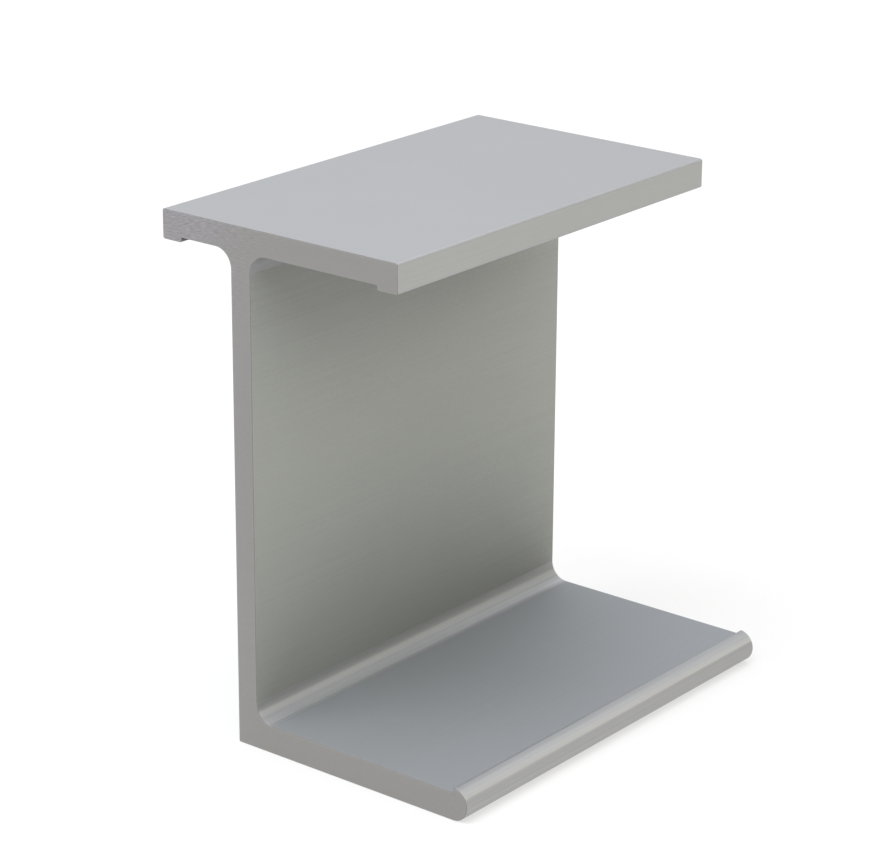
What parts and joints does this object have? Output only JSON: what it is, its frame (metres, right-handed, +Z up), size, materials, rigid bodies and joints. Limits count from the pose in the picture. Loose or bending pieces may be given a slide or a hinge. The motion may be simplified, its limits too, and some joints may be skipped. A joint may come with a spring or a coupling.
{
  "type": "aluminium extrusion profile",
  "caption": "Sawn length of extruded aluminium profile: upright web, wide top flange with lips overhanging both sides, and a longer foot flange ending in a raised round nose.",
  "frame": {"origin": "on the floor, at the middle of the length and of the overall width", "axes": "+Z up along the web, +X from the web towards the nose of the foot flange, +Y along the extrusion from one sawn end to the other"},
  "size_m": [0.0775, 0.1, 0.11],
  "materials": {
    "mill_finish_aluminium": "satin mill finish"
  },
  "bodies": {
    "root": {"profile_bar": "mill_finish_aluminium"}
  },
  "joints": []
}
